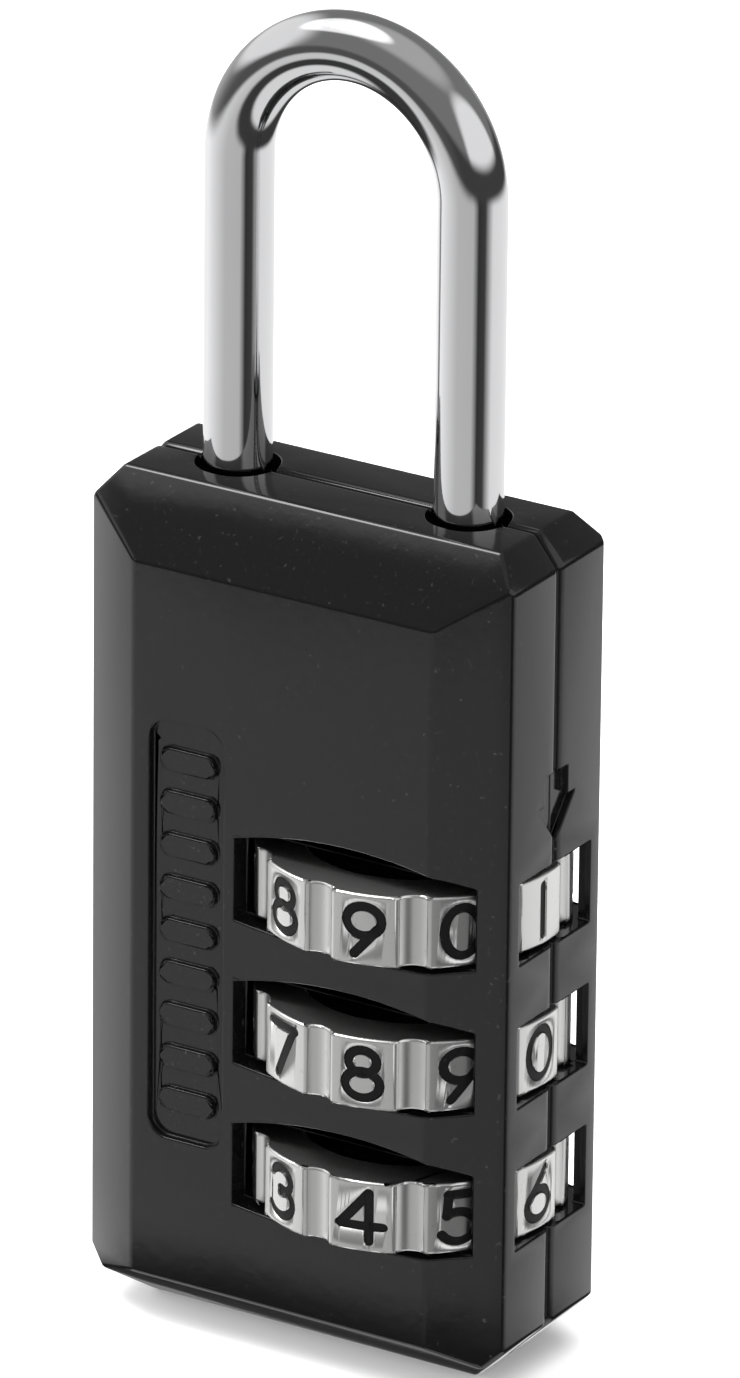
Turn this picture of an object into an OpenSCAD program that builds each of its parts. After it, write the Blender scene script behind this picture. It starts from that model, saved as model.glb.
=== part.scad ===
// Three-dial combination padlock: two cast shells, a long-leg shackle, three
// number dials, and the lock works between them. Front is -Y, the dials stand
// out on +X, and Z = 0 is the flat base.

/* [Body] */
// Width of the body across X
body_w = 20.6; // [20.6:0.1:26]
// Depth of the body, front face to rear face
body_d = 10.3; // [9.4:0.1:12.4]
// Depth of the flat side walls between the vertical bevels
side_d = 7.2; // [6:0.1:8]
// Width of each vertical bevel, measured across X
bevel_w = 3.0; // [2:0.1:3.6]
// Height of the long bevels above the front and rear faces
top_bevel_h = 3.1; // [2:0.1:4]
// Depth of the flat top
top_d = 5.7; // [5:0.1:7]
// Height of the small bevels at the two ends of the top
top_corner_h = 1.4; // [0.6:0.1:2]
// Width of the small bevels at the two ends of the top
top_corner_w = 1.1; // [0.6:0.1:2]
// Height of the bevels round the base
base_bevel_h = 2.2; // [1.2:0.1:3]
// Depth of the flat base
base_d = 4.2; // [3.6:0.1:6]
// Width of the base's end bevels
base_corner_w = 2.2; // [1:0.1:3]
// Height of the floor under the lock works
floor_h = 1.6; // [1.6:0.1:2.4]
// Wall between the lifter's cavity and the end of the toe's hole
crown_wall = 1.05; // [0.8:0.05:3]

/* [Shackle] */
// Diameter of the shackle's wire
wire_d = 2.95; // [2.4:0.05:3.6]
// Distance between the two legs, centre to centre
leg_pitch = 11.27; // [9.4:0.01:13.6]
// Height of the bend's centre line above the top of the body
shackle_rise = 19.36; // [12:0.01:30]
// Length of the short leg, the toe, inside the body
toe_in = 4.3; // [3:0.1:5]
// How far the open shackle rises
lift = 5.0; // [4.6:0.1:7]
// Height of the long leg's lower end when locked
heel_z = 11; // [9:0.5:13]
// Height of the seat of the heel spring
heel_seat_z = 3; // [2.6:0.1:4]
// Depth of the groove round the long leg
groove_depth = 0.62; // [0.4:0.01:0.8]

/* [Dials] */
// Diameter of a dial over its lands
dial_d = 13.36; // [10.9:0.01:15.8]
// Height of a dial
dial_h = 3.2; // [3:0.01:3.5]
// Height of the pocket and the window that a dial turns in
pocket_h = 3.67; // [3.67:0.01:3.9]
// Distance between neighbouring dials, centre to centre
dial_pitch = 6.5; // [6:0.1:7.8]
// Height of the centre of the lowest dial's pocket
dial_low_z = 8.4; // [8.2:0.1:10]
// Distance from the body's side wall to the dials' lands
dial_inset = 0.22; // [0.2:0.01:1]
// Gap between the dials and the shackle's long leg
dial_leg_gap = 0.66; // [0.6:0.01:2]
// Number of digits on a dial
digits = 10; // [10]
// Width of the flutes between digits, in degrees round the dial
flute_angle = 11; // [8:1:14]
// Depth of the flutes
flute_depth = 0.35; // [0.2:0.01:0.5]
// Angle from the side wall's centre line to the digit being read
dial_phase = -4.5; // [-10:0.5:10]

/* [Windows, arrow and panel] */
// Width of the relief round each front and rear window
relief_w = 11.3; // [10:0.1:12]
// Depth of the relief
relief_depth = 1.0; // [0.6:0.1:1.4]
// How far the relief's upper edge bows upwards
relief_bow = 0.8; // [0.3:0.05:1.2]
// How far the relief's lower edge bows downwards
relief_dip = 0.4; // [0.3:0.05:1.2]
// Width of the reading windows in the side wall
side_window_w = 5.7; // [5:0.1:6.4]
// Height of the arrow's point above the upper reading window
arrow_gap = 1.0; // [0.6:0.1:2]
// Height of the arrow
arrow_h = 3.1; // [2:0.1:5]
// Height of the arrow's head
arrow_head_h = 1.8; // [1:0.1:3]
// Width of the arrow's head
arrow_head_w = 3.0; // [2:0.1:4]
// Width of the arrow's stem
arrow_stem_w = 1.8; // [1:0.1:2.4]
// Depth of the arrow and of the panel
mark_depth = 0.35; // [0.2:0.05:0.6]
// Width of the plain panel on the front
panel_w = 3.65; // [3:0.05:4]
// Height of the panel
panel_h = 19; // [12:0.5:20]
// Height of the panel's lower edge
panel_z = 8.8; // [6:0.1:12]
// Distance from the body's centre plane to the panel's inner edge
panel_x = 2.8; // [2.4:0.1:3.4]
// Radius of the panel's corners
panel_r = 0.9; // [0.3:0.1:1.5]
// Number of raised bars in the panel
panel_bars = 9; // [3:1:11]

/* [Lock works] */
// Diameter of the spindle
spindle_d = 2.9; // [2.4:0.1:3]
// How far the spindle's fins reach from its axis
fin_reach = 2.45; // [2.2:0.05:2.5]
// Width of a fin
fin_w = 1.0; // [0.6:0.1:1.2]
// Height of a fin
fin_h = 0.9; // [0.6:0.05:1]
// Outside diameter of a sleeve's hub
hub_d = 6.4; // [6.2:0.1:6.6]
// Wall of a sleeve's hub
hub_wall = 0.6; // [0.5:0.05:0.6]
// Radius of a sleeve's toothed disc below its teeth
disc_r = 4.0; // [3.8:0.1:4.1]
// Height of the teeth on the disc
tooth_h = 0.5; // [0.3:0.05:0.6]
// Width of a tooth
tooth_w = 1.0; // [0.7:0.05:1.2]
// How far the sleeves drop when the code is being changed
reset_drop = 1.2; // [1.2:0.01:1.3]
// Thickness of the lifter plate
lifter_t = 1.2; // [0.8:0.1:1.6]
// Width of the lifter plate
lifter_w = 4.4; // [4.2:0.1:4.8]
// Thickness of the washers at the ends of the return spring
washer_t = 0.35; // [0.25:0.05:0.4]
// Thickness of the click spring's strip
click_t = 0.25; // [0.15:0.05:0.35]
// Diameter of the pins that hold the shells together
pin_d = 1.2; // [1:0.1:1.4]

/* [Clearances] */
// Radial clearance of turning and sliding fits
run_gap = 0.08; // [0.05:0.01:0.1]
// Gap at the ends of parts that turn or slide against each other
end_gap = 0.1; // [0.05:0.01:0.15]
// Gap all round a part that moves in a cavity
free_gap = 0.2; // [0.15:0.01:0.3]

/* [Hidden] */
$fn = 64;
eps = 0.01;
half_w = body_w / 2;
half_d = body_d / 2;
wire_r = wire_d / 2;
bore_r = wire_r + run_gap;
dial_r = dial_d / 2;
pocket_gap = 0.25;
pocket_r = dial_r + pocket_gap;
dial_x = half_w - dial_inset - dial_r;
leg_x = dial_x - dial_r - dial_leg_gap - wire_r;
toe_x = leg_x + leg_pitch;
dial_z = [for (i = [0:2]) dial_low_z + (2 - i) * dial_pitch];
dial_under = end_gap - pocket_h / 2;

// A sleeve, measured from its dial's centre
hub_r = hub_d / 2;
hub_bore = hub_r - hub_wall;
hub_half = dial_pitch / 2 - end_gap / 2;
rib_bore = hub_r + run_gap;
disc_sink = 0.05;
disc_t = reset_drop - 0.05;
disc_low = dial_under + dial_h - disc_sink - disc_t;
gate_low = 0.4;
gate_t = 0.8;
gate_w = fin_w + 0.3;
fin_low = -2.0;
rod_tail = 0.5;
web_top = disc_low - reset_drop - end_gap;

// The lifter and what it carries
stack_top = dial_z[0] + hub_half;
collar_z = stack_top + end_gap + 0.05;
collar_t = 0.5;
collar_r = hub_bore + 0.3;
lifter_z = collar_z + collar_t;
lifter_top = lifter_z + lifter_t;
lifter_fit = 0.05;
groove_r = wire_r - groove_depth;
neck_r = 1.1;
neck_groove = 0.3;
neck_end = 0.3;
clip_t = 0.4;
clip_r = neck_r + 0.7;
clip_mouth = 1;
cavity_top = lifter_top + lift + free_gap + clip_t + 0.1;
toe_gap = 0.3;
body_h = cavity_top + crown_wall + toe_in + toe_gap;
wire_chamfer = 0.3;
hole_rim = 0.3;

// The stack under the lowest sleeve
seat_top = floor_h + washer_t;
washer_top = dial_z[2] - hub_half;
washer_low = washer_top - washer_t;
washer_bore = 1.8;
seat_bore = 1.2;

// The click spring behind the long leg
click_angle = 180 - 0.5 * 360 / digits + dial_phase;
click_back = half_d - 1.6;
click_face = click_back - click_t;
click_tip_r = 0.28;
click_reach = dial_r + end_gap + click_tip_r;
click_tip = [dial_x + click_reach * cos(click_angle), click_reach * sin(click_angle)];
click_left = leg_x - wire_r - 0.15;
click_root = leg_x + 0.9;
click_low = dial_z[2] - 2.4;
click_high = dial_z[0] + 2.4;
click_gap = 0.15;
finger_h = 1.8;
finger_taper = 0.1;
rivet_r = 0.35;
rivet_in = 0.7;
rivet_head_r = 0.7;
rivet_head_t = 0.35;
rivet_x = click_left + 1.3;
rivet_z = [for (i = [0:1]) (dial_z[i] + dial_z[i + 1]) / 2];

// The pins that hold the shells together, by their places on the front
pin_r = pin_d / 2;
pin_l = body_d - 3.2;
pin_wall = 0.7;
pin_low = click_low - click_gap - pin_wall - pin_r;
pin_high = cavity_top + pin_wall + pin_r;
pin_by_leg = leg_x + bore_r + pin_wall + pin_r;
pin_by_toe = toe_x - bore_r - pin_wall - pin_r;
pin_outer = max(dial_x + hub_r + 2 * pin_wall, half_w - 2.4);
pin_places = [[pin_by_leg, pin_low], [pin_outer, pin_low],
              [pin_by_leg, pin_high], [pin_by_toe, pin_high]];

// The raised bars in the panel
bar_margin = 0.8;
bar_end_gap = 0.45;
bar_fill = 0.27;
bar_sink = 0.1;

// The wire springs
spring_wire_r = 0.16;
return_spring_r = 2.5;
return_turns = 3.5;
heel_turns = 8;

shell_color = [0.07, 0.07, 0.075];
chrome_color = [0.82, 0.82, 0.84];
nickel_color = [0.86, 0.86, 0.85];
steel_color = [0.62, 0.63, 0.65];
dark_color = [0.16, 0.16, 0.17];

// ---- helpers ----

module ring(r_out, r_in, z, h) {
    translate([0, 0, z]) difference() {
        cylinder(r = r_out, h = h);
        translate([0, 0, -1]) cylinder(r = r_in, h = h + 2);
    }
}

// A box from its two corners
module box(low, high) {
    translate(low) cube(high - low);
}

// A spring wound with a round wire, between two heights
function coil_ring(r, wire, a, z, sides) = [for (j = [0:sides - 1])
    let (t = 360 * j / sides, d = r + wire * cos(t))
    [d * cos(a), d * sin(a), z + wire * sin(t)]];

module coil(r, wire, low, high, turns) {
    sides = 6;
    steps = ceil(turns * 14);
    rise = high - low - 2 * wire;
    points = [for (i = [0:steps])
        each coil_ring(r, wire, 360 * turns * i / steps, low + wire + rise * i / steps, sides)];
    walls = [for (i = [0:steps - 1], j = [0:sides - 1])
        let (k = (j + 1) % sides, a = i * sides, b = (i + 1) * sides)
        each [[a + j, b + j, b + k], [a + j, b + k, a + k]]];
    first = [for (j = [0:sides - 1]) j];
    last = [for (j = [0:sides - 1]) steps * sides + sides - 1 - j];
    polyhedron(points, concat([first], walls, [last]));
}

// ---- body ----

module body_block() {
    plan = [[half_w, side_d / 2], [half_w - bevel_w, half_d],
            [bevel_w - half_w, half_d], [-half_w, side_d / 2],
            [-half_w, -side_d / 2], [bevel_w - half_w, -half_d],
            [half_w - bevel_w, -half_d], [half_w, -side_d / 2]];
    profile = [[base_d / 2, 0], [half_d, base_bevel_h],
               [half_d, body_h - top_bevel_h], [top_d / 2, body_h],
               [-top_d / 2, body_h], [-half_d, body_h - top_bevel_h],
               [-half_d, base_bevel_h], [-base_d / 2, 0]];
    front = [[half_w - base_corner_w, 0], [half_w, base_bevel_h],
             [half_w, body_h - top_corner_h], [half_w - top_corner_w, body_h],
             [top_corner_w - half_w, body_h], [-half_w, body_h - top_corner_h],
             [-half_w, base_bevel_h], [base_corner_w - half_w, 0]];
    intersection() {
        linear_extrude(body_h) polygon(plan);
        rotate([90, 0, 90]) linear_extrude(body_w + 2, center = true) polygon(profile);
        rotate([90, 0, 0]) linear_extrude(body_d + 2, center = true) polygon(front);
    }
}

// The bowed outline cut into the face round a window, from the face inwards
module window_relief(z) {
    top_r = (pow(relief_w / 2, 2) + pow(relief_bow, 2)) / (2 * relief_bow);
    low_r = (pow(relief_w / 2, 2) + pow(relief_dip, 2)) / (2 * relief_dip);
    translate([dial_x, -half_d + relief_depth, z]) rotate([90, 0, 0]) intersection() {
        translate([-relief_w / 2, -pocket_h, 0]) cube([relief_w, 2 * pocket_h, 3]);
        translate([0, pocket_h / 2 + relief_bow - top_r, 0])
            cylinder(r = top_r, h = 3, $fn = 180);
        translate([0, low_r - relief_dip - pocket_h / 2, 0])
            cylinder(r = low_r, h = 3, $fn = 180);
    }
}

module dial_openings() {
    for (z = dial_z) {
        translate([dial_x, 0, z - pocket_h / 2]) cylinder(r = pocket_r, h = pocket_h);
        window_relief(z);
        mirror([0, 1, 0]) window_relief(z);
        box([half_w - 2, -side_window_w / 2, z - pocket_h / 2],
            [half_w + 1, side_window_w / 2, z + pocket_h / 2]);
    }
}

// The bore of the sleeves, which ends in a step that holds them down, and above
// it the narrower bore of the spindle's collar
module stack_bore() {
    step_z = stack_top + end_gap;
    translate([dial_x, 0, 0]) {
        translate([0, 0, floor_h]) cylinder(r = rib_bore, h = step_z - floor_h);
        translate([0, 0, step_z - eps])
            cylinder(r = collar_r + end_gap, h = lifter_z + lift + free_gap - step_z);
    }
}

module shackle_holes() {
    translate([leg_x, 0, heel_seat_z]) cylinder(r = bore_r, h = body_h);
    translate([toe_x, 0, body_h - toe_in - toe_gap]) cylinder(r = bore_r, h = body_h);
    for (x = [leg_x, toe_x]) translate([x, 0, body_h - hole_rim])
        cylinder(r1 = bore_r, r2 = bore_r + 2 * hole_rim, h = 2 * hole_rim);
}

// Room for the lifter to rise with the shackle, and to drop when the code is changed
module lifter_cavity() {
    box([leg_x - wire_r - free_gap, -lifter_w / 2 - free_gap, lifter_z - reset_drop - end_gap],
        [dial_x + lifter_w / 2 + free_gap, lifter_w / 2 + free_gap, cavity_top]);
}

module click_pocket() {
    box([click_left - click_gap, 0, click_low - click_gap],
        [dial_x - dial_r + 0.6, click_back, click_high + click_gap]);
    for (z = rivet_z) translate([rivet_x, click_back - eps, z]) rotate([-90, 0, 0])
        cylinder(r = rivet_r, h = rivet_in + end_gap);
}

module pin_row() {
    for (p = pin_places) translate([p[0], pin_l / 2, p[1]]) rotate([90, 0, 0])
        cylinder(r = pin_r, h = pin_l, $fn = 32);
}

module arrow_cut() {
    tip = dial_z[0] + pocket_h / 2 + arrow_gap;
    stem = arrow_stem_w / 2;
    head = arrow_head_w / 2;
    outline = [[0, tip], [head, tip + arrow_head_h], [stem, tip + arrow_head_h],
               [stem, tip + arrow_h], [-stem, tip + arrow_h],
               [-stem, tip + arrow_head_h], [-head, tip + arrow_head_h]];
    translate([half_w - mark_depth, 0, 0]) rotate([90, 0, 90])
        linear_extrude(2) polygon(outline);
}

module panel_cut() {
    low = [-panel_x - panel_w, -half_d - 1, panel_z];
    depth = mark_depth + 1;
    translate(low) {
        translate([panel_r, 0, 0]) cube([panel_w - 2 * panel_r, depth, panel_h]);
        translate([0, 0, panel_r]) cube([panel_w, depth, panel_h - 2 * panel_r]);
        for (x = [panel_r, panel_w - panel_r], z = [panel_r, panel_h - panel_r])
            translate([x, depth, z]) rotate([90, 0, 0]) cylinder(r = panel_r, h = depth);
    }
}

// Plain raised bars with round ends, evenly spaced up the panel
module panel_bars() {
    step = (panel_h - 2 * bar_margin) / panel_bars;
    bar_r = step * bar_fill;
    reach = panel_w / 2 - bar_r - bar_end_gap;
    height = mark_depth - bar_sink;
    for (i = [0:panel_bars - 1])
        translate([-panel_x - panel_w / 2, -half_d + mark_depth,
                   panel_z + bar_margin + (i + 0.5) * step]) rotate([90, 0, 0]) {
            translate([-reach, -bar_r, 0]) cube([2 * reach, 2 * bar_r, height]);
            for (x = [-reach, reach]) translate([x, 0, 0]) cylinder(r = bar_r, h = height, $fn = 32);
        }
}

// The block with its sunk panel and the bars in it, which the openings then cut
module faced_block(side) {
    difference() {
        body_block();
        if (side < 0) panel_cut();
    }
    if (side < 0) panel_bars();
}

module shell(side) {
    intersection() {
        difference() {
            faced_block(side);
            dial_openings();
            stack_bore();
            shackle_holes();
            lifter_cavity();
            pin_row();
            arrow_cut();
            if (side > 0) click_pocket();
        }
        translate([-body_w, side > 0 ? 0 : -body_d, -1]) cube([2 * body_w, body_d, body_h + 2]);
    }
}

module front_shell() {
    color(shell_color) shell(-1);
}

module rear_shell() {
    color(shell_color) shell(1);
}

module shell_pins() {
    color(steel_color) pin_row();
}

// ---- shackle and what rises with it ----

module shackle() {
    bend_z = body_h + shackle_rise - leg_pitch / 2;
    toe_z = body_h - toe_in;
    color(chrome_color) difference() {
        union() {
            translate([leg_x + leg_pitch / 2, 0, bend_z]) rotate([90, 0, 0])
                rotate_extrude(angle = 180, $fn = 128) translate([leg_pitch / 2, 0]) circle(r = wire_r);
            for (end = [[leg_x, heel_z], [toe_x, toe_z]]) translate([end[0], 0, end[1]]) {
                cylinder(r1 = wire_r - wire_chamfer, r2 = wire_r, h = wire_chamfer);
                translate([0, 0, wire_chamfer])
                    cylinder(r = wire_r, h = bend_z - end[1] - wire_chamfer);
            }
        }
        translate([leg_x, 0, 0])
            ring(wire_r + 1, groove_r, lifter_z - lifter_fit, lifter_t + 2 * lifter_fit);
    }
}

module lifter_plate() {
    slot = groove_r + lifter_fit;
    color(steel_color) translate([0, 0, lifter_z]) difference() {
        union() {
            translate([leg_x - wire_r, -lifter_w / 2, 0])
                cube([dial_x - leg_x + wire_r, lifter_w, lifter_t]);
            translate([dial_x, 0, 0]) cylinder(r = lifter_w / 2, h = lifter_t);
        }
        translate([leg_x, 0, -1]) cylinder(r = slot, h = lifter_t + 2);
        translate([leg_x - wire_r - 1, -slot, -1]) cube([wire_r + 1, 2 * slot, lifter_t + 2]);
        translate([dial_x, 0, -1]) cylinder(r = neck_r, h = lifter_t + 2);
    }
}

module spindle() {
    rod_low = dial_z[2] + fin_low - rod_tail;
    color(steel_color) translate([dial_x, 0, 0]) difference() {
        union() {
            translate([0, 0, rod_low]) cylinder(d = spindle_d, h = lifter_z - rod_low);
            translate([0, 0, collar_z]) cylinder(r = collar_r, h = collar_t);
            translate([0, 0, lifter_z]) cylinder(r = neck_r, h = lifter_t + clip_t + neck_end);
            for (z = dial_z)
                rotate([0, 0, dial_phase]) translate([0, -fin_w / 2, z + fin_low])
                    cube([fin_reach, fin_w, fin_h]);
        }
        ring(neck_r + 1, neck_r - neck_groove, lifter_top, clip_t);
    }
}

module spindle_circlip() {
    color(steel_color) translate([dial_x, 0, 0]) difference() {
        ring(clip_r, neck_r - neck_groove, lifter_top, clip_t);
        translate([0, -clip_mouth / 2, lifter_top - 1]) cube([clip_r + 1, clip_mouth, 2 + clip_t]);
    }
}

// ---- dials and sleeves ----

module dial(z) {
    low = z + dial_under;
    half_chord = dial_r * sin(flute_angle / 2);
    sag = flute_depth - dial_r * (1 - cos(flute_angle / 2));
    flute_r = (pow(half_chord, 2) + pow(sag, 2)) / (2 * sag);
    notch_r = disc_r + tooth_h + end_gap;
    color(nickel_color) translate([dial_x, 0, 0]) rotate([0, 0, dial_phase]) difference() {
        translate([0, 0, low]) cylinder(r = dial_r, h = dial_h, $fn = 180);
        for (i = [0:digits - 1]) rotate([0, 0, (i + 0.5) * 360 / digits])
            translate([dial_r - flute_depth + flute_r, 0, low - 1])
                cylinder(r = flute_r, h = dial_h + 2);
        translate([0, 0, low - 1]) cylinder(r = rib_bore, h = 3);
        translate([0, 0, z + web_top]) cylinder(r = notch_r, h = disc_low - web_top);
        translate([0, 0, z + disc_low - eps]) cylinder(r = disc_r + end_gap, h = dial_h);
        for (i = [0:digits - 1]) rotate([0, 0, i * 360 / digits])
            intersection() {
                translate([0, -tooth_w / 2 - run_gap, z + disc_low - eps])
                    cube([notch_r + 1, tooth_w + 2 * run_gap, dial_h]);
                translate([0, 0, z - dial_h]) cylinder(r = notch_r, h = 2 * dial_h);
            }
    }
}

module sleeve(z) {
    color(dark_color) translate([dial_x, 0, 0]) rotate([0, 0, dial_phase]) difference() {
        union() {
            translate([0, 0, z - hub_half]) cylinder(r = hub_r, h = 2 * hub_half);
            translate([0, 0, z + disc_low]) cylinder(r = disc_r, h = disc_t);
            for (i = [0:digits - 1]) rotate([0, 0, i * 360 / digits])
                intersection() {
                    translate([hub_r, -tooth_w / 2, z + disc_low])
                        cube([disc_r, tooth_w, disc_t]);
                    translate([0, 0, z]) cylinder(r = disc_r + tooth_h, h = dial_h);
                }
        }
        translate([0, 0, z - hub_half - 1]) cylinder(r = hub_bore, h = hub_half + 1 + gate_low);
        translate([0, 0, z + gate_low + gate_t]) cylinder(r = hub_bore, h = hub_half);
        translate([0, 0, z - 1]) cylinder(r = spindle_d / 2 + run_gap, h = 4);
        translate([0, -gate_w / 2, z]) cube([hub_bore - 0.05, gate_w, 2]);
    }
}

// ---- springs and small parts ----

module click_spring() {
    finger = [[click_root - 3 * finger_taper, click_back],
              [click_root - 3 * finger_taper, click_face],
              [click_root + finger_taper, click_face],
              [click_tip[0] - finger_taper, click_tip[1] - finger_taper / 2],
              [click_tip[0] + finger_taper, click_tip[1] + 1.5 * finger_taper],
              [click_root + 2 * finger_taper, click_back]];
    color(steel_color) {
        difference() {
            box([click_left, click_face, click_low], [click_root, click_back, click_high]);
            for (z = rivet_z) translate([rivet_x, click_back + 1, z]) rotate([90, 0, 0])
                cylinder(r = rivet_r, h = 3);
        }
        for (z = dial_z) translate([0, 0, z - finger_h / 2]) {
            linear_extrude(finger_h) polygon(finger);
            translate(click_tip) cylinder(r = click_tip_r, h = finger_h, $fn = 32);
        }
    }
}

module click_rivets() {
    color(steel_color) for (z = rivet_z)
        translate([rivet_x, click_back, z]) rotate([90, 0, 0]) {
            translate([0, 0, -rivet_in])
                cylinder(r = rivet_r, h = rivet_in + click_t + 0.1, $fn = 32);
            translate([0, 0, click_t]) cylinder(r = rivet_head_r, h = rivet_head_t, $fn = 32);
        }
}

module reset_washer() {
    color(steel_color) translate([dial_x, 0, 0]) ring(hub_r - 0.05, washer_bore, washer_low, washer_t);
}

module return_spring() {
    color(steel_color) translate([dial_x, 0, 0])
        coil(return_spring_r, spring_wire_r, seat_top, washer_low, return_turns);
}

module spring_seat() {
    color(steel_color) translate([dial_x, 0, 0]) ring(hub_r, seat_bore, floor_h, washer_t);
}

module heel_spring() {
    color(steel_color) translate([leg_x, 0, 0])
        coil(wire_r - 0.25, spring_wire_r, heel_seat_z, heel_z, heel_turns);
}

front_shell();
rear_shell();
shell_pins();
shackle();
lifter_plate();
spindle();
spindle_circlip();
dial(dial_z[0]);  // dial_upper
dial(dial_z[1]);  // dial_middle
dial(dial_z[2]);  // dial_lower
sleeve(dial_z[0]);  // sleeve_upper
sleeve(dial_z[1]);  // sleeve_middle
sleeve(dial_z[2]);  // sleeve_lower
click_spring();
click_rivets();
reset_washer();
return_spring();
spring_seat();
heel_spring();
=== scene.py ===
# A three-dial combination padlock: rounded and engraved versions of the cast
# shells, the wire shackle and the number dials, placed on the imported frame.
import math

import bpy
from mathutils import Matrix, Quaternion, Vector


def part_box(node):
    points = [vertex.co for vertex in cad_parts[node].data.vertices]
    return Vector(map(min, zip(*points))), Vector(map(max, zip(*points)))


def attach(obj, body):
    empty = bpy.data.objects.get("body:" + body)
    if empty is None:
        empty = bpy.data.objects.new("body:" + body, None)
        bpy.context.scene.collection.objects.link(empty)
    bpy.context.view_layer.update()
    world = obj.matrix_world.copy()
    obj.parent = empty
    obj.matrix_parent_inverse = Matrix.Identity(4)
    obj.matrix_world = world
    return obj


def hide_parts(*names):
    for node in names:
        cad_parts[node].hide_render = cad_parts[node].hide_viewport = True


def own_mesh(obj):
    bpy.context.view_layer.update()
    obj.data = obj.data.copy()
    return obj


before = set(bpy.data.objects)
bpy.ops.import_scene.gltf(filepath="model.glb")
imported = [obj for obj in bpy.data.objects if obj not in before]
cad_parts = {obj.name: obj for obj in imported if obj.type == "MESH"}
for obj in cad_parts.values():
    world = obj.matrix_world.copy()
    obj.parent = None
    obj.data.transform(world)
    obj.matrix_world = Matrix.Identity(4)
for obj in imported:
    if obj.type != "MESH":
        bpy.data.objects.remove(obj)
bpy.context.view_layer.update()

MM = 0.001
UP = (0, 0, 1)

# ---- sizes, in millimetres, taken from the frame or shared with the CAD ----


def node_box(node):
    """The two corners of a CAD node, in millimetres."""
    low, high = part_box(node)
    return [v / MM for v in low], [v / MM for v in high]


FRONT_LOW, FRONT_HIGH = node_box("front_shell")
HALF_W = FRONT_HIGH[0]
HALF_D = -FRONT_LOW[1]
BODY_H = FRONT_HIGH[2]
SIDE_HALF_D = 3.6
BEVEL_W = 3.0
TOP_BEVEL_H = 3.1
TOP_HALF_D = 2.85
TOP_CORNER_H = 1.4
TOP_CORNER_W = 1.1
BASE_BEVEL_H = 2.2
BASE_HALF_D = 2.1
BASE_CORNER_W = 2.2
EDGE_ROUND = 0.16
SEAM_CUT = 0.24
RIM_ROUND = 0.08
RELIEF_W = 11.3
RELIEF_RISE = 0.8
RELIEF_DIP = 0.4
READING_HALF_W = 2.85
PANEL_RIGHT = -2.8
RUN_GAP = 0.08
FREE_GAP = 0.2
LIFT = 5.0
RESET_DROP = 1.2

DIALS = ("dial_upper", "dial_middle", "dial_lower")
READ_DIGITS = (1, 0, 6)
DIAL_PHASE = -4.5
DIAL_LOW, DIAL_HIGH = node_box("dial_upper")
DIAL_R = (DIAL_HIGH[1] - DIAL_LOW[1]) / 2
DIAL_H = DIAL_HIGH[2] - DIAL_LOW[2]
SEAT_LOW, SEAT_HIGH = node_box("spring_seat")
DIAL_X = (SEAT_LOW[0] + SEAT_HIGH[0]) / 2
HUB_R = (SEAT_HIGH[0] - SEAT_LOW[0]) / 2
FLOOR_Z = SEAT_LOW[2]
DIAL_Z = [(node_box(n)[0][2] + node_box(n)[1][2]) / 2 for n in DIALS]
POCKET_GAP = 0.25
POCKET_UNDER = 0.1
POCKET_OVER = 0.37
POCKET_R = DIAL_R + POCKET_GAP
POCKET_H = POCKET_UNDER + DIAL_H + POCKET_OVER
POCKET_Z = [z - DIAL_H / 2 - POCKET_UNDER + POCKET_H / 2 for z in DIAL_Z]

SHACKLE_LOW, SHACKLE_HIGH = node_box("shackle")
WIRE_R = (SHACKLE_HIGH[1] - SHACKLE_LOW[1]) / 2
LEG_X = SHACKLE_LOW[0] + WIRE_R
TOE_X = SHACKLE_HIGH[0] - WIRE_R
BEND_R = (TOE_X - LEG_X) / 2
BEND_Z = SHACKLE_HIGH[2] - WIRE_R - BEND_R
HEEL_Z = SHACKLE_LOW[2]
TOE_IN = 4.3
TOE_Z = BODY_H - TOE_IN
LIFTER_LOW, LIFTER_HIGH = node_box("lifter_plate")
SPINDLE_TOP = node_box("spindle")[1][2]
BORE_R = WIRE_R + RUN_GAP
HOLE_RIM_R = WIRE_R + 0.33


# ---- modelling helpers ----


def only(piece):
    """Selects one object and nothing else."""
    if bpy.context.mode != "OBJECT":
        bpy.ops.object.mode_set(mode="OBJECT")
    bpy.ops.object.select_all(action="DESELECT")
    piece.select_set(True)
    bpy.context.view_layer.objects.active = piece


def settle(piece, name):
    """Names a piece and puts its place, turn and size into its mesh."""
    only(piece)
    bpy.ops.object.transform_apply(location=True, rotation=True, scale=True)
    piece.name = name
    piece.data.name = name
    return piece


def block(low, high, name="block"):
    """A box from its two corners, in millimetres."""
    bpy.ops.object.select_all(action="DESELECT")
    middle = [(a + b) / 2 * MM for a, b in zip(low, high)]
    bpy.ops.mesh.primitive_cube_add(size=1, location=middle)
    piece = bpy.context.object
    piece.scale = [(b - a) * MM for a, b in zip(low, high)]
    return settle(piece, name)


def rod(start, axis, length, radius, sides=64, name="rod"):
    """A cylinder from its start point along an axis, in millimetres."""
    bpy.ops.object.select_all(action="DESELECT")
    bpy.ops.mesh.primitive_cylinder_add(vertices=sides, radius=radius * MM, depth=length * MM)
    piece = bpy.context.object
    along = Vector(axis).normalized()
    half_step = Quaternion(UP, math.pi / sides)
    piece.rotation_euler = (along.to_track_quat("Z", "Y") @ half_step).to_euler()
    piece.location = (Vector(start) + along * length / 2) * MM
    return settle(piece, name)


def combine(piece, other, how="DIFFERENCE"):
    """Cuts, joins or intersects a piece with another one, which is used up."""
    only(piece)
    step = piece.modifiers.new("combine", "BOOLEAN")
    step.operation = how
    step.solver = "EXACT"
    step.object = other
    bpy.ops.object.modifier_apply(modifier=step.name)
    bpy.data.objects.remove(other)
    return piece


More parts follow.
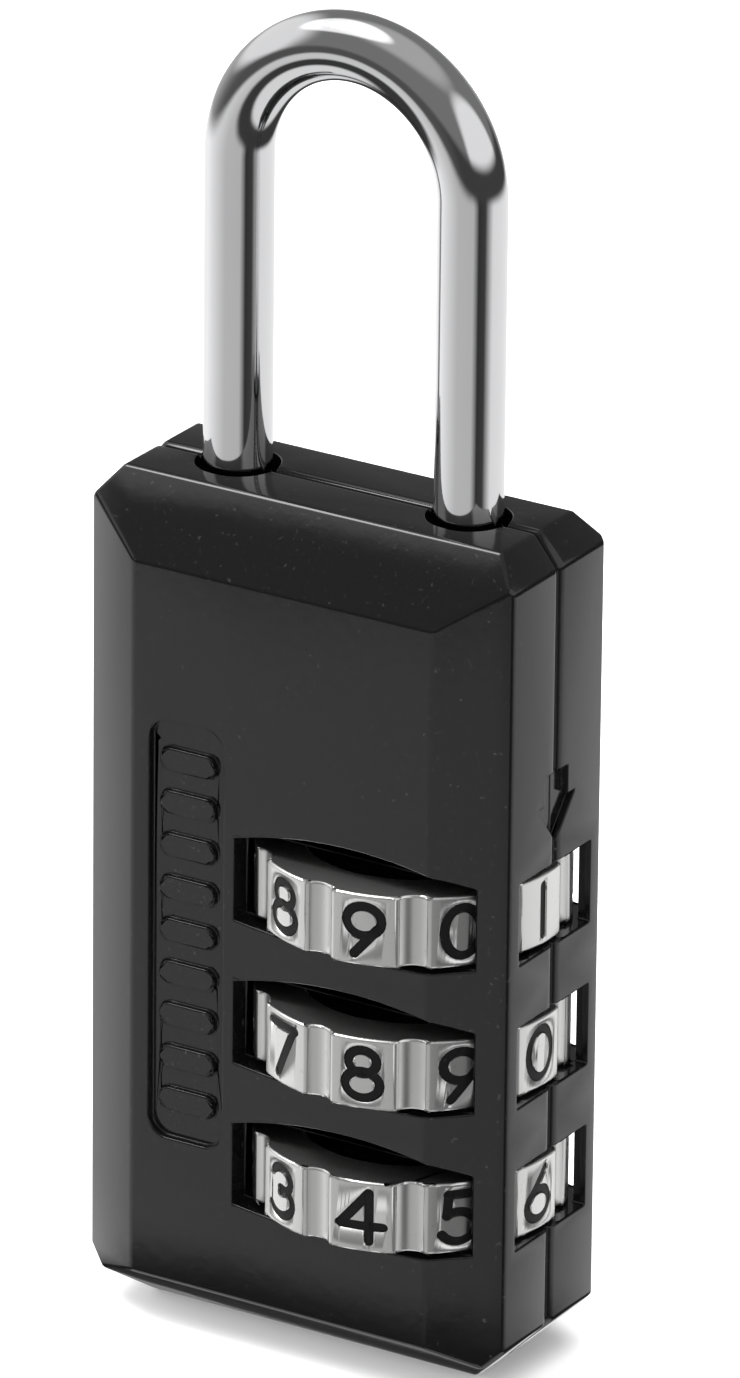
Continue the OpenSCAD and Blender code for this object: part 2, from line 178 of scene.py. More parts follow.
def pick_edges(piece, test):
    """Enters edit mode with only the edges selected whose two ends pass the test."""
    only(piece)
    bpy.ops.object.mode_set(mode="EDIT")
    bpy.ops.mesh.select_mode(type="EDGE")
    bpy.ops.mesh.select_all(action="DESELECT")
    bpy.ops.object.mode_set(mode="OBJECT")
    mesh = piece.data
    for edge in mesh.edges:
        ends = [mesh.vertices[i].co / MM for i in edge.vertices]
        edge.select = test(*ends)
    bpy.ops.object.mode_set(mode="EDIT")


def round_edges(piece, test, width, segments):
    """Rounds the edges that pass the test."""
    pick_edges(piece, test)
    bpy.ops.mesh.bevel(offset=width * MM, segments=segments, affect="EDGES", clamp_overlap=False)
    bpy.ops.object.mode_set(mode="OBJECT")


def soften_rims(piece, width, segments=2, angle=32, merge=0.003):
    """Rounds every sharp edge that is left, and shades the rest smoothly."""
    only(piece)
    bpy.ops.object.mode_set(mode="EDIT")
    bpy.ops.mesh.select_all(action="SELECT")
    bpy.ops.mesh.remove_doubles(threshold=merge * MM)
    bpy.ops.mesh.dissolve_degenerate(threshold=merge * MM)
    bpy.ops.mesh.quads_convert_to_tris(quad_method="BEAUTY", ngon_method="BEAUTY")
    bpy.ops.object.mode_set(mode="OBJECT")
    bpy.ops.object.shade_smooth_by_angle(angle=math.radians(angle))
    step = piece.modifiers.new("soften", "BEVEL")
    step.width = width * MM
    step.segments = segments
    step.limit_method = "ANGLE"
    step.angle_limit = math.radians(angle)
    step.use_clamp_overlap = False
    step.miter_outer = "MITER_ARC"
    step.harden_normals = True
    bpy.ops.object.modifier_apply(modifier=step.name)


def tube(route, radii, closed, roundness, name):
    """A solid round bar along a route, with its own radius at each point."""
    curve = bpy.data.curves.new(name, "CURVE")
    curve.dimensions = "3D"
    curve.bevel_depth = MM
    curve.bevel_resolution = roundness
    curve.use_fill_caps = not closed
    line = curve.splines.new("POLY")
    line.points.add(len(route) - 1)
    line.use_cyclic_u = closed
    for spot, place, radius in zip(line.points, route, radii):
        spot.co = (*[v * MM for v in place], 1)
        spot.radius = radius
    piece = bpy.data.objects.new(name, curve)
    bpy.context.scene.collection.objects.link(piece)
    only(piece)
    bpy.ops.object.convert(target="MESH")
    face_outwards(bpy.context.object)
    return bpy.context.object


# ---- the cast shells ----


def slice_off(piece, point, normal):
    """Cuts away what lies beyond a plane and closes the cut."""
    only(piece)
    bpy.ops.object.mode_set(mode="EDIT")
    bpy.ops.mesh.select_all(action="SELECT")
    bpy.ops.mesh.bisect(plane_co=[v * MM for v in point], plane_no=Vector(normal).normalized(),
                        use_fill=True, clear_outer=True)
    bpy.ops.object.mode_set(mode="OBJECT")


def score(piece, point, normal):
    """Splits the faces along a plane and removes nothing."""
    only(piece)
    bpy.ops.object.mode_set(mode="EDIT")
    bpy.ops.mesh.select_all(action="SELECT")
    bpy.ops.mesh.bisect(plane_co=[v * MM for v in point], plane_no=normal)
    bpy.ops.object.mode_set(mode="OBJECT")


def shell_blank(side, name):
    """Half of the chamfered body: side is -1 for the front half and 1 for the rear."""
    near, far = sorted((0, side * HALF_D))
    blank = block((-HALF_W, near, 0), (HALF_W, far, BODY_H), name)
    y = side * HALF_D
    for end in (-1, 1):
        slice_off(blank, (end * HALF_W, side * SIDE_HALF_D, 0),
                  (end * (HALF_D - SIDE_HALF_D), side * BEVEL_W, 0))
        slice_off(blank, (end * HALF_W, 0, BODY_H - TOP_CORNER_H),
                  (end * TOP_CORNER_H, 0, TOP_CORNER_W))
        slice_off(blank, (end * HALF_W, 0, BASE_BEVEL_H),
                  (end * BASE_BEVEL_H, 0, -BASE_CORNER_W))
    slice_off(blank, (0, y, BODY_H - TOP_BEVEL_H), (0, side * TOP_BEVEL_H, HALF_D - TOP_HALF_D))
    slice_off(blank, (0, y, BASE_BEVEL_H), (0, side * BASE_BEVEL_H, BASE_HALF_D - HALF_D))
    round_edges(blank, lambda a, b: abs(a.y) + abs(b.y) < 0.01, SEAM_CUT, 1)
    round_edges(blank, lambda a, b: True, EDGE_ROUND, 3)
    return blank


def relief(side, z):
    """The bowed outline that is cut into the face round a dial's window."""
    width, depth = RELIEF_W, 1.0
    near, far = sorted((side * (HALF_D - depth), side * (HALF_D + 2)))
    low = (DIAL_X - width / 2, near, z - POCKET_H)
    cut = block(low, (DIAL_X + width / 2, far, z + POCKET_H), "relief")
    for way, bow in ((1, RELIEF_RISE), (-1, RELIEF_DIP)):
        bow_r = ((width / 2) ** 2 + bow ** 2) / (2 * bow)
        middle = z + way * (POCKET_H / 2 + bow - bow_r)
        combine(cut, rod((DIAL_X, -20, middle), (0, 1, 0), 40, bow_r, 256), "INTERSECT")
    return cut


def cut_windows(shell, side):
    """Dial pockets with their front or rear windows and the reading windows."""
    for z in POCKET_Z:
        combine(shell, rod((DIAL_X, 0, z - POCKET_H / 2), UP, POCKET_H, POCKET_R, 192))
        combine(shell, relief(side, z))
        combine(shell, block((HALF_W - 2, -READING_HALF_W, z - POCKET_H / 2),
                             (HALF_W + 1, READING_HALF_W, z + POCKET_H / 2)))


def cut_holes(shell):
    """Holes for the two legs with their countersunk rims, and the works' cavities."""
    heel_seat, toe_gap, rim_depth, end_gap, head_gap = 3, 0.3, 1.5, 0.1, 0.12
    combine(shell, rod((LEG_X, 0, heel_seat), UP, BODY_H, BORE_R))
    combine(shell, rod((TOE_X, 0, TOE_Z - toe_gap), UP, 20, BORE_R))
    for x in (LEG_X, TOE_X):
        combine(shell, rod((x, 0, BODY_H - rim_depth), UP, 2 * rim_depth, HOLE_RIM_R))
    stack_h = LIFTER_LOW[2] + LIFT + FREE_GAP - FLOOR_Z
    combine(shell, rod((DIAL_X, 0, FLOOR_Z), UP, stack_h, HUB_R + RUN_GAP))
    low = [v - FREE_GAP for v in LIFTER_LOW[:2]] + [LIFTER_LOW[2] - RESET_DROP - end_gap]
    high = [v + FREE_GAP for v in LIFTER_HIGH[:2]] + [SPINDLE_TOP + LIFT + head_gap]
    combine(shell, block(low, high))


def cut_arrow(shell):
    """The sunk arrow on the seam, pointing down at the reading windows."""
    above = 1.0
    tip = POCKET_Z[0] + POCKET_H / 2 + above
    head_h, head_half, stem_half, height, depth = 1.8, 1.5, 0.9, 3.1, 0.35
    low_x = HALF_W - depth
    stem = block((low_x, -stem_half, tip + head_h - 0.05),
                 (HALF_W + 1, stem_half, tip + height))
    combine(shell, stem)
    head = block((low_x, -head_half, tip), (HALF_W + 1, head_half, tip + head_h))
    for way in (-1, 1):
        slice_off(head, (0, 0, tip), (0, way * head_h, -head_half))
    combine(shell, head)


def cut_panel(shell):
    """A sunk panel with round corners, and plain raised bars standing in it."""
    right, width, height, low, depth, corner = PANEL_RIGHT, 3.65, 19.0, 8.8, 0.35, 0.9
    cut = block((right - width, -HALF_D - 1, low), (right, -HALF_D + depth, low + height))
    round_edges(cut, lambda a, b: abs(a.y - b.y) > 0.5, corner, 10)
    combine(shell, cut)
    bars, end_margin, side_margin, sunk = 9, 0.8, 0.45, 0.1
    step = (height - 2 * end_margin) / bars
    bar_r = step * 0.27
    reach = width / 2 - side_margin
    x = right - width / 2
    for i in range(bars):
        z = low + end_margin + (i + 0.5) * step
        bar = block((x - reach, -HALF_D + sunk, z - bar_r), (x + reach, -HALF_D + 1, z + bar_r))
        round_edges(bar, lambda a, b: abs(a.y - b.y) > 0.5, bar_r * 0.9, 8)
        combine(shell, bar, "UNION")


def score_faces(shell):
    """Splits the large faces between the openings, so that the rims round cleanly."""
    above, below = 0.9, 0.6
    score(shell, ((PANEL_RIGHT + DIAL_X - RELIEF_W / 2) / 2, 0, 0), (1, 0, 0))
    score(shell, (0, 0, POCKET_Z[0] + POCKET_H / 2 + above), UP)
    score(shell, (0, 0, POCKET_Z[2] - POCKET_H / 2 - below), UP)
    for high, low in zip(POCKET_Z, POCKET_Z[1:]):
        score(shell, (0, 0, (high + low) / 2), UP)


def cut_click_pocket(shell):
    """Room for the leaf spring beside the dials."""
    gap, dial_gap = 0.15, 0.3
    low, high = node_box("click_spring")
    combine(shell, block((low[0] - gap, -1, low[2] - gap),
                         (high[0] + dial_gap, high[1], high[2] + gap)))


def make_shell(side, node, paint):
    """The front or the rear half of the body."""
    shell = shell_blank(side, node + "_cast")
    cut_windows(shell, side)
    cut_holes(shell)
    cut_arrow(shell)
    score_faces(shell)
    if side < 0:
        cut_panel(shell)
    else:
        cut_click_pocket(shell)
    soften_rims(shell, RIM_ROUND)
    finish_piece(shell, paint, node, "body")


def finish_piece(piece, material, node, body):
    """Gives a piece its material and lets it stand for a CAD node on a body."""
    piece.data.materials.clear()
    piece.data.materials.append(material)
    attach(piece, body)
    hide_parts(node)


# ---- the shackle ----


def make_shackle(chrome):
    """One bent wire, from the heel up the long leg, round the bend and down to the toe."""
    chamfer, neck = 0.3, WIRE_R - 0.62
    groove_low, groove_high = LIFTER_LOW[2] - 0.05, LIFTER_HIGH[2] + 0.05
    route = [(LEG_X, 0, HEEL_Z), (LEG_X, 0, HEEL_Z + chamfer),
             (LEG_X, 0, groove_low - 0.02), (LEG_X, 0, groove_low),
             (LEG_X, 0, groove_high), (LEG_X, 0, groove_high + 0.02)]
    sizes = [WIRE_R - chamfer, WIRE_R, WIRE_R, neck, neck, WIRE_R]
    turns = 120
    for i in range(turns + 1):
        a = math.pi * (1 - i / turns)
        route.append((LEG_X + BEND_R + BEND_R * math.cos(a), 0, BEND_Z + BEND_R * math.sin(a)))
        sizes.append(WIRE_R)
    route += [(TOE_X, 0, TOE_Z + chamfer), (TOE_X, 0, TOE_Z)]
    sizes += [WIRE_R, WIRE_R - chamfer]
    wire = tube(route, sizes, False, 15, "shackle_wire")
    bpy.ops.object.shade_smooth_by_angle(angle=math.radians(30))
    finish_piece(wire, chrome, "shackle", "shackle")


# ---- the spring under the sleeves ----


def make_return_spring(steel):
    """A coil of wire in the place of the return spring, under the sleeves."""
    low, high = node_box("return_spring")
    wire_r, turns, steps = 0.16, 3.5, 84
    coil_r = (high[0] - low[0]) / 2 - wire_r
    climb = high[2] - low[2] - 2 * wire_r
    route = []
    for i in range(steps + 1):
        a = math.tau * turns * i / steps
        route.append((DIAL_X + coil_r * math.cos(a), coil_r * math.sin(a),
                      low[2] + wire_r + climb * i / steps))
    coil = tube(route, [wire_r] * len(route), False, 3, "return_spring_coil")
    bpy.ops.object.shade_smooth_by_angle(angle=math.radians(40))
    finish_piece(coil, steel, "return_spring", "body")
    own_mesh(coil)


# ---- the number dials ----

STROKE_R = 0.23
DIGIT_HALF_H = 1.08
DIGIT_WIDEN = 1.2


def arc(cx, cy, rx, ry, start, end, steps=18):
    """Points along an arc of an ellipse, by angles in degrees."""
    points = []
    for i in range(steps + 1):
        turn = math.radians(start + (end - start) * i / steps)
        points.append((cx + rx * math.cos(turn), cy + ry * math.sin(turn)))
    return points


def digit_strokes(digit):
    """The centre lines of a digit's strokes, upright, each with whether it closes."""
    top = DIGIT_HALF_H
    if digit == 0:
        return [(arc(0, 0, 0.66, top, 0, 345, 23), True)]
    if digit == 1:
        return [([(0, -top), (0, top)], False)]
    if digit == 2:
        hook = arc(0, 0.46, 0.62, top - 0.46, 165, -30, 16)
        return [(hook + [(-0.6, -top)], False), ([(-0.62, -top), (0.68, -top)], False)]
    if digit == 3:
        return [(arc(-0.04, 0.52, 0.54, top - 0.52, 150, -85, 14), False),
                (arc(-0.04, -0.46, 0.64, top - 0.46, 85, -150, 16), False)]
    if digit == 4:
        return [([(0.3, -top), (0.3, top)], False), ([(0.28, top), (-0.76, -0.4)], False),
                ([(-0.76, -0.42), (0.76, -0.42)], False)]
    if digit == 5:
        return [([(0.58, top), (-0.36, top)], False), ([(-0.38, top), (-0.44, 0.12)], False),
                (arc(-0.04, -0.4, 0.66, top - 0.4, 125, -150, 18), False)]
    if digit == 6:
        return [([(0.34, top), (-0.5, -0.08)], False),
                (arc(0, -0.42, 0.64, top - 0.42, 0, 345, 23), True)]
    if digit == 7:
        return [([(-0.64, top), (0.64, top)], False), ([(0.62, top), (-0.24, -top)], False)]
    if digit == 8:
        return [(arc(0, 0.55, 0.52, top - 0.55, 0, 345, 23), True),
                (arc(0, -0.48, 0.64, top - 0.48, 0, 345, 23), True)]
    return [([(-0.34, -top), (0.5, 0.08)], False),
            (arc(0, 0.42, 0.64, top - 0.42, 0, 345, 23), True)]


def fill_in(points, closed, step=0.12):
    """Adds points so that none are further apart than a step."""
    ends = points[1:] + points[:1] if closed else points[1:]
    dense = []
    for (ax, ay), (bx, by) in zip(points, ends):
        parts = max(1, round(math.hypot(bx - ax, by - ay) / step))
        dense += [(ax + (bx - ax) * i / parts, ay + (by - ay) * i / parts) for i in range(parts)]
    return dense if closed else dense + [points[-1]]


def stroke_solid(points, closed, turn):
    """A round stroke that follows the dial's surface, with round ends."""
    points = fill_in(points, closed)
    sizes = [1.0] * len(points)
    if not closed:
        for at, beyond in ((0, 1), (-1, -2)):
            (x, y), (px, py) = points[at], points[beyond]
            span = math.hypot(x - px, y - py)
            way = ((x - px) / span, (y - py) / span)
            caps = [((x + way[0] * STROKE_R * t, y + way[1] * STROKE_R * t),
                     math.sqrt(1 - t * t)) for t in (0.4, 0.7, 0.9, 0.995)]
            extra = [c[0] for c in caps]
            round_off = [c[1] for c in caps]
            if at == 0:
                points = extra[::-1] + points
                sizes = round_off[::-1] + sizes
            else:
                points = points + extra
                sizes = sizes + round_off
    centre_r = DIAL_R - 0.03
    route = []
    for x, y in points:
        a = turn + x * DIGIT_WIDEN / DIAL_R
        route.append((centre_r * math.cos(a), centre_r * math.sin(a), y))
    return tube(route, [STROKE_R * size for size in sizes], closed, 3, "stroke")


def face_outwards(piece):
    """Merges doubles and turns every face outwards."""
    only(piece)
    bpy.ops.object.mode_set(mode="EDIT")
    bpy.ops.mesh.select_all(action="SELECT")
    bpy.ops.mesh.remove_doubles(threshold=0.0005 * MM)
    bpy.ops.mesh.normals_make_consistent(inside=False)
    bpy.ops.object.mode_set(mode="OBJECT")


def joined(pieces, name):
    """Makes one object of several."""
    only(pieces[0])
    for piece in pieces[1:]:
        piece.select_set(True)
    bpy.ops.object.join()
    return settle(bpy.context.object, name)


def dial_blank():
    """A ring with ten flutes, its axis on Z and its digit 0 facing +X."""
    half = DIAL_H / 2
    ring = rod((0, 0, -half), UP, DIAL_H, DIAL_R, 240, "dial_ring")
    depth, half_angle = 0.35, math.radians(5.5)
    half_chord = DIAL_R * math.sin(half_angle)
    sag = depth - DIAL_R * (1 - math.cos(half_angle))
    flute_r = (half_chord ** 2 + sag ** 2) / (2 * sag)
    reach = DIAL_R - depth + flute_r
    for i in range(10):
        a = math.radians(36 * (i + 0.5))
        combine(ring, rod((reach * math.cos(a), reach * math.sin(a), -half - 1), UP,
                          DIAL_H + 2, flute_r, 48))
    cavity_r, cavity_low = 4.6, -0.9
    combine(ring, rod((0, 0, -half - 1), UP, DIAL_H, HUB_R + RUN_GAP, 96))
    combine(ring, rod((0, 0, cavity_low), UP, DIAL_H, cavity_r, 96))
    soften_rims(ring, 0.13, 3, 25, 0.05)
    return ring


def make_dials(nickel, enamel):
    """One engraved dial, then a turned copy of it at each dial's place."""
    master = dial_blank()
    fills = []
    for digit in range(10):
        for points, closed in digit_strokes(digit):
            solid = stroke_solid(points, closed, math.radians(36 * digit))
            fill = solid.copy()
            fill.data = solid.data.copy()
            bpy.context.scene.collection.objects.link(fill)
            combine(master, solid)
            fills.append(fill)
    enamels = joined(fills, "dial_enamel")
    enamel_sink = 0.07
    surface = (DIAL_R - enamel_sink) * MM
    for v in enamels.data.vertices:
        r = math.hypot(v.co.x, v.co.y)
        if r > surface:
            v.co.x *= surface / r
            v.co.y *= surface / r
    only(master)
    bpy.ops.object.shade_smooth_by_angle(angle=math.radians(30))
    for node, z, read in zip(DIALS, DIAL_Z, READ_DIGITS):
        body = node.replace("dial_", "") + "_dial"
        for source, material, name in ((master, nickel, node + "_ring"),
                                       (enamels, enamel, node + "_digits")):
            piece = source.copy()
            piece.data = source.data.copy()
            bpy.context.scene.collection.objects.link(piece)
            piece.rotation_euler = (0, 0, math.radians(DIAL_PHASE - 36 * read))
            piece.location = (DIAL_X * MM, 0, z * MM)
            settle(piece, name)
            piece.data.materials.clear()
            piece.data.materials.append(material)
            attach(piece, body)
            if source is master:
                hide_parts(node)
    bpy.data.objects.remove(master)
    bpy.data.objects.remove(enamels)


# ---- finishes ----


def new_material(name):
    """A new material, with its nodes, its links and its shader."""
    material = bpy.data.materials.new(name)
    material.use_nodes = True
    nodes = material.node_tree.nodes
    shader = nodes["Principled BSDF"]
    return material, nodes, material.node_tree.links, shader


def grain_group():
    """Fine noise in the surface: a height, a fine speck mask and a broad variation."""
    group = bpy.data.node_groups.new("metal_grain", "ShaderNodeTree")
    face = group.interface
    for name, value in (("Scale", 900.0), ("Speck Amount", 0.3)):
        socket = face.new_socket(name=name, in_out="INPUT", socket_type="NodeSocketFloat")
        socket.default_value = value
    for name in ("Height", "Specks", "Variation"):
        face.new_socket(name=name, in_out="OUTPUT", socket_type="NodeSocketFloat")
    nodes, links = group.nodes, group.links
    given = nodes.new("NodeGroupInput")
    out = nodes.new("NodeGroupOutput")
    where = nodes.new("ShaderNodeTexCoord")
    fine = nodes.new("ShaderNodeTexNoise")
    fine.inputs["Detail"].default_value = 3
    links.new(where.outputs["Object"], fine.inputs["Vector"])
    links.new(given.outputs["Scale"], fine.inputs["Scale"])
    links.new(fine.outputs["Fac"], out.inputs["Height"])
    dots = nodes.new("ShaderNodeTexNoise")
    dots.inputs["Detail"].default_value = 1
    grow = nodes.new("ShaderNodeMath")
    grow.operation = "MULTIPLY"
    grow.inputs[1].default_value = 3.1
    links.new(given.outputs["Scale"], grow.inputs[0])
    links.new(grow.outputs[0], dots.inputs["Scale"])
    links.new(where.outputs["Object"], dots.inputs["Vector"])
    peak = nodes.new("ShaderNodeMapRange")
    peak.inputs["From Min"].default_value = 0.68
    peak.inputs["From Max"].default_value = 0.8
    links.new(dots.outputs["Fac"], peak.inputs["Value"])
    amount = nodes.new("ShaderNodeMath")
    amount.operation = "MULTIPLY"
    links.new(peak.outputs["Result"], amount.inputs[0])
    links.new(given.outputs["Speck Amount"], amount.inputs[1])
    links.new(amount.outputs[0], out.inputs["Specks"])
    broad = nodes.new("ShaderNodeTexNoise")
    broad.inputs["Scale"].default_value = 140
    broad.inputs["Detail"].default_value = 4
    links.new(where.outputs["Object"], broad.inputs["Vector"])
    links.new(broad.outputs["Fac"], out.inputs["Variation"])
    return group


def place_grain(nodes, group, scale, specks):
    """Puts the shared grain into a material."""
    grain = nodes.new("ShaderNodeGroup")
    grain.node_tree = group
    grain.inputs["Scale"].default_value = scale
    grain.inputs["Speck Amount"].default_value = specks
    return grain


def span(nodes, links, source, low, high):
    """Maps a 0 to 1 value onto a range."""
    step = nodes.new("ShaderNodeMapRange")
    step.inputs["To Min"].default_value = low
    step.inputs["To Max"].default_value = high
    links.new(source, step.inputs["Value"])
    return step.outputs["Result"]


def tint(nodes, links, source, low, high):
    """Mixes two colours by a value."""
    step = nodes.new("ShaderNodeMix")
    step.data_type = "RGBA"
    step.inputs[6].default_value = (*low, 1)
    step.inputs[7].default_value = (*high, 1)
    links.new(source, step.inputs[0])
    return step.outputs[2]


def raise_grain(nodes, links, shader, height, distance, strength):
    """Turns the grain's height into a faint bump."""
    bump = nodes.new("ShaderNodeBump")
    bump.inputs["Distance"].default_value = distance
    bump.inputs["Strength"].default_value = strength
    links.new(height, bump.inputs["Height"])
    links.new(bump.outputs["Normal"], shader.inputs["Normal"])


def black_paint(group):
    """Gloss black paint on a casting, with faint orange peel and dust specks."""
    material, nodes, links, shader = new_material("black_gloss_paint")
    grain = place_grain(nodes, group, 1500, 0.5)
    colour = tint(nodes, links, grain.outputs["Specks"], (0.003, 0.003, 0.0032), (0.03, 0.03, 0.03))
    links.new(colour, shader.inputs["Base Color"])
    links.new(span(nodes, links, grain.outputs["Variation"], 0.07, 0.14), shader.inputs["Roughness"])
    shader.inputs["IOR"].default_value = 1.5
    raise_grain(nodes, links, shader, grain.outputs["Height"], 0.00001, 0.5)
    return material


def polished_chrome(group):
    """Chrome plate on drawn wire: mirror bright, with faint draw lines and bloom."""
    material, nodes, links, shader = new_material("polished_chrome")
    grain = place_grain(nodes, group, 700, 0.2)
    colour = tint(nodes, links, grain.outputs["Variation"], (0.66, 0.66, 0.67), (0.73, 0.73, 0.74))
    links.new(colour, shader.inputs["Base Color"])
    shader.inputs["Metallic"].default_value = 1
    links.new(span(nodes, links, grain.outputs["Variation"], 0.04, 0.1), shader.inputs["Roughness"])
    raise_grain(nodes, links, shader, grain.outputs["Height"], 0.000006, 0.4)
    return material


def satin_nickel(group):
    """Satin nickel plate on the cast dials."""
    material, nodes, links, shader = new_material("satin_nickel")
    grain = place_grain(nodes, group, 1100, 0.35)
    colour = tint(nodes, links, grain.outputs["Specks"], (0.93, 0.93, 0.92), (0.6, 0.6, 0.59))
    links.new(colour, shader.inputs["Base Color"])
    shader.inputs["Metallic"].default_value = 1
    links.new(span(nodes, links, grain.outputs["Variation"], 0.3, 0.42), shader.inputs["Roughness"])
    raise_grain(nodes, links, shader, grain.outputs["Height"], 0.00001, 0.6)
    return material


def black_enamel(group):
    """Black filling in the engraved digits."""
    material, nodes, links, shader = new_material("black_enamel")
    grain = place_grain(nodes, group, 1800, 0.4)
    colour = tint(nodes, links, grain.outputs["Specks"], (0.003, 0.003, 0.003), (0.02, 0.02, 0.02))
    links.new(colour, shader.inputs["Base Color"])
    links.new(span(nodes, links, grain.outputs["Variation"], 0.3, 0.5), shader.inputs["Roughness"])
    shader.inputs["Specular IOR Level"].default_value = 0.25
    raise_grain(nodes, links, shader, grain.outputs["Height"], 0.00001, 0.6)
    return material


def bare_metal(group, name, colour_low, colour_high, rough_low, rough_high):
    """Turned or stamped metal of the lock works."""
    material, nodes, links, shader = new_material(name)
    grain = place_grain(nodes, group, 1300, 0.3)
    colour = tint(nodes, links, grain.outputs["Variation"], colour_low, colour_high)
    links.new(colour, shader.inputs["Base Color"])
    shader.inputs["Metallic"].default_value = 1
    links.new(span(nodes, links, grain.outputs["Variation"], rough_low, rough_high),
              shader.inputs["Roughness"])
    raise_grain(nodes, links, shader, grain.outputs["Height"], 0.00001, 0.5)
    return material


def finish_works(steel, dark):
    """Gives the carried-over nodes of the lock works their metal."""
    for name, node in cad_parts.items():
        if name in ("front_shell", "rear_shell", "shackle", "return_spring") or name in DIALS:
            continue
        metal = dark if name.startswith("sleeve") else steel
        node.data.materials.clear()
        node.data.materials.append(metal)


# ---- floor, light and camera ----

AIM = Vector((-1.5025, 4.3292, 26.893)) * MM
AZIMUTH, ELEVATION, ROLL = 31.617, 22.330, 0.600
DISTANCE = 578.5 * MM
SENSOR_H, FOCAL_LENGTH = 36, 359.27


def add_floor():
    """A plain pale floor, just under the object."""
    bpy.ops.object.select_all(action="DESELECT")
    bpy.ops.mesh.primitive_plane_add(size=12, location=(0, 0, -0.00002))
    floor = bpy.context.object
    floor.name = "floor"
    material, nodes, links, shader = new_material("pale_floor")
    shader.inputs["Base Color"].default_value = (0.9, 0.9, 0.9, 1)
    shader.inputs["Roughness"].default_value = 0.9
    floor.data.materials.append(material)
    floor.visible_glossy = False


def add_light(name, direction, distance, size, power):
    """A soft rectangular light that faces the object and doesn't show in reflections."""
    light = bpy.data.lights.new(name, "AREA")
    light.shape = "RECTANGLE"
    light.size, light.size_y = size
    light.energy = power
    lamp = bpy.data.objects.new(name, light)
    bpy.context.scene.collection.objects.link(lamp)
    lamp.location = Vector(direction).normalized() * distance
    lamp.rotation_euler = (-lamp.location).to_track_quat("-Z", "Y").to_euler()
    lamp.visible_glossy = False


# The studio's lower part, by heading in degrees from +X: bright behind and at
# both sides, dimmer in front, with one dark gap at the front right.
LOW_GLOW = ((-180, 1.2), (-148, 0.95), (-105, 0.63), (-56, 0.6), (-38, 0.04), (-16, 0.06),
            (12, 0.95), (180, 1.2))


def mapped(nodes, links, source, low, high, to_low=0.0, to_high=1.0):
    """A smooth step from one value to another."""
    step = nodes.new("ShaderNodeMapRange")
    step.interpolation_type = "SMOOTHSTEP"
    for name, value in (("From Min", low), ("From Max", high),
                        ("To Min", to_low), ("To Max", to_high)):
        step.inputs[name].default_value = value
    links.new(source, step.inputs["Value"])
    return step.outputs["Result"]


def blended(nodes, links, share, first, second):
    """Mixes two brightnesses, each a socket or a number."""
    mix = nodes.new("ShaderNodeMix")
    links.new(share, mix.inputs[0])
    for socket, value in ((mix.inputs[2], first), (mix.inputs[3], second)):
        if isinstance(value, float):
            socket.default_value = value
        else:
            links.new(value, socket)
    return mix.outputs[0]


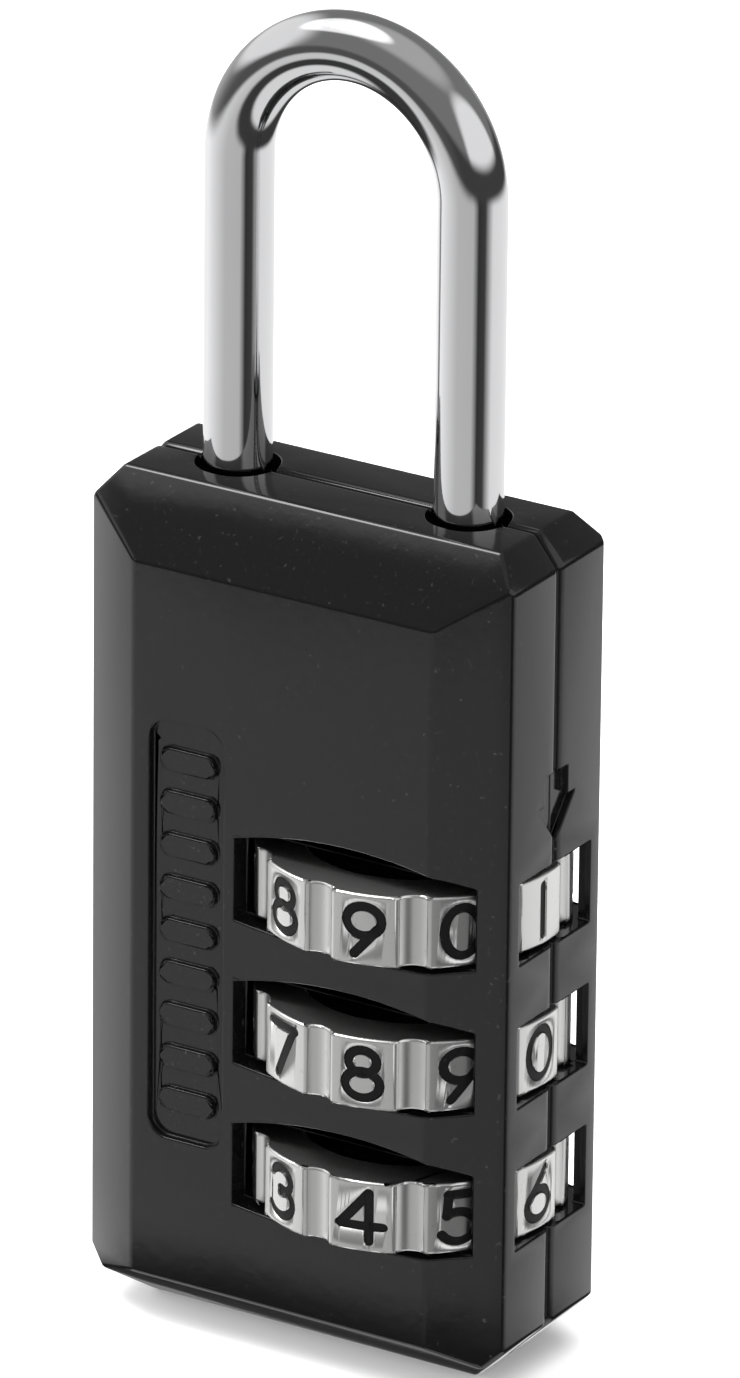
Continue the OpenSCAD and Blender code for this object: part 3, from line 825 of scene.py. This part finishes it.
def add_world():
    """A soft studio: pale below, darker at the horizon and above, one soft box overhead."""
    world = bpy.data.worlds.new("studio")
    bpy.context.scene.world = world
    world.use_nodes = True
    nodes, links = world.node_tree.nodes, world.node_tree.links
    where = nodes.new("ShaderNodeTexCoord")
    split = nodes.new("ShaderNodeSeparateXYZ")
    links.new(where.outputs["Generated"], split.inputs[0])
    heading = nodes.new("ShaderNodeMath")
    heading.operation = "ARCTAN2"
    links.new(split.outputs["Y"], heading.inputs[0])
    links.new(split.outputs["X"], heading.inputs[1])
    round_way = nodes.new("ShaderNodeMapRange")
    round_way.inputs["From Min"].default_value = -math.pi
    round_way.inputs["From Max"].default_value = math.pi
    links.new(heading.outputs[0], round_way.inputs["Value"])
    glow = nodes.new("ShaderNodeValToRGB")
    stops = glow.color_ramp.elements
    ends = stops[0], stops[1]
    for end, (angle, level) in zip(ends, (LOW_GLOW[0], LOW_GLOW[-1])):
        end.color = (level, level, level, 1)
    for angle, level in LOW_GLOW[1:-1]:
        stops.new((angle + 180) / 360).color = (level, level, level, 1)
    links.new(round_way.outputs["Result"], glow.inputs["Fac"])
    horizon = mapped(nodes, links, split.outputs["Y"], -0.6, 0.6, 0.1, 0.5)
    horizon = blended(nodes, links, mapped(nodes, links, split.outputs["X"], -0.2, 0.3),
                      horizon, 0.06)
    deep = blended(nodes, links, mapped(nodes, links, split.outputs["Z"], -0.8, -0.72),
                   0.9, 0.05)
    under = blended(nodes, links, mapped(nodes, links, split.outputs["Z"], -0.56, -0.46),
                    deep, glow.outputs["Color"])
    lower = blended(nodes, links, mapped(nodes, links, split.outputs["Z"], -0.3, -0.18),
                    under, horizon)
    upper = blended(nodes, links, mapped(nodes, links, split.outputs["Z"], 0.7, 0.9), 0.22, 0.5)
    upper = blended(nodes, links, mapped(nodes, links, split.outputs["X"], -0.8, -0.62),
                    0.95, upper)
    upper = blended(nodes, links, mapped(nodes, links, split.outputs["X"], 0.6, 0.75),
                    upper, 1.0)
    level = blended(nodes, links, mapped(nodes, links, split.outputs["Z"], 0.0, 0.16),
                    lower, upper)
    box_way = nodes.new("ShaderNodeVectorMath")
    box_way.operation = "DOT_PRODUCT"
    box_way.inputs[1].default_value = (-0.47, -0.08, 0.879)
    links.new(where.outputs["Generated"], box_way.inputs[0])
    soft_box = mapped(nodes, links, box_way.outputs["Value"], 0.885, 0.93, 0.0, 1.0)
    bulb = mapped(nodes, links, box_way.outputs["Value"], 0.975, 0.99, 0.0, 9.0)
    both = nodes.new("ShaderNodeMath")
    total = nodes.new("ShaderNodeMath")
    links.new(soft_box, both.inputs[0])
    links.new(bulb, both.inputs[1])
    links.new(level, total.inputs[0])
    links.new(both.outputs[0], total.inputs[1])
    links.new(total.outputs[0], nodes["Background"].inputs["Strength"])
    nodes["Background"].inputs["Color"].default_value = (1, 1, 1, 1)


def add_camera():
    """A long lens that looks down at the front and the right side."""
    lens = bpy.data.cameras.new("view")
    lens.sensor_fit = "VERTICAL"
    lens.sensor_height = SENSOR_H
    lens.lens = FOCAL_LENGTH
    lens.clip_start = 0.01
    lens.clip_end = 50
    camera = bpy.data.objects.new("view", lens)
    bpy.context.scene.collection.objects.link(camera)
    a, e = math.radians(AZIMUTH), math.radians(ELEVATION)
    back = Vector((math.sin(a) * math.cos(e), -math.cos(a) * math.cos(e), math.sin(e)))
    camera.location = AIM + back * DISTANCE
    camera.rotation_euler = back.to_track_quat("Z", "Y").to_euler()
    camera.rotation_euler.rotate_axis("Z", math.radians(ROLL))
    bpy.context.scene.camera = camera


def main():
    """Builds every piece, then the room round it."""
    group = grain_group()
    paint = black_paint(group)
    make_shell(-1, "front_shell", paint)
    make_shell(1, "rear_shell", paint)
    make_shackle(polished_chrome(group))
    make_dials(satin_nickel(group), black_enamel(group))
    steel = bare_metal(group, "works_steel", (0.5, 0.5, 0.52), (0.66, 0.66, 0.68), 0.25, 0.42)
    dark = bare_metal(group, "blackened_steel", (0.03, 0.03, 0.032), (0.07, 0.07, 0.07), 0.3, 0.45)
    finish_works(steel, dark)
    make_return_spring(steel)
    add_floor()
    add_world()
    add_light("overhead", (-0.1, 0.1, 1.0), 2.2, (3.0, 3.0), 90)
    add_light("front_fill", (0.7, -1.1, 0.5), 2.2, (2.4, 1.2), 60)
    add_light("side_fill", (-1.1, -0.5, 0.5), 2.2, (2.0, 1.2), 35)
    add_camera()
    bpy.context.scene.view_settings.view_transform = "Standard"


main()
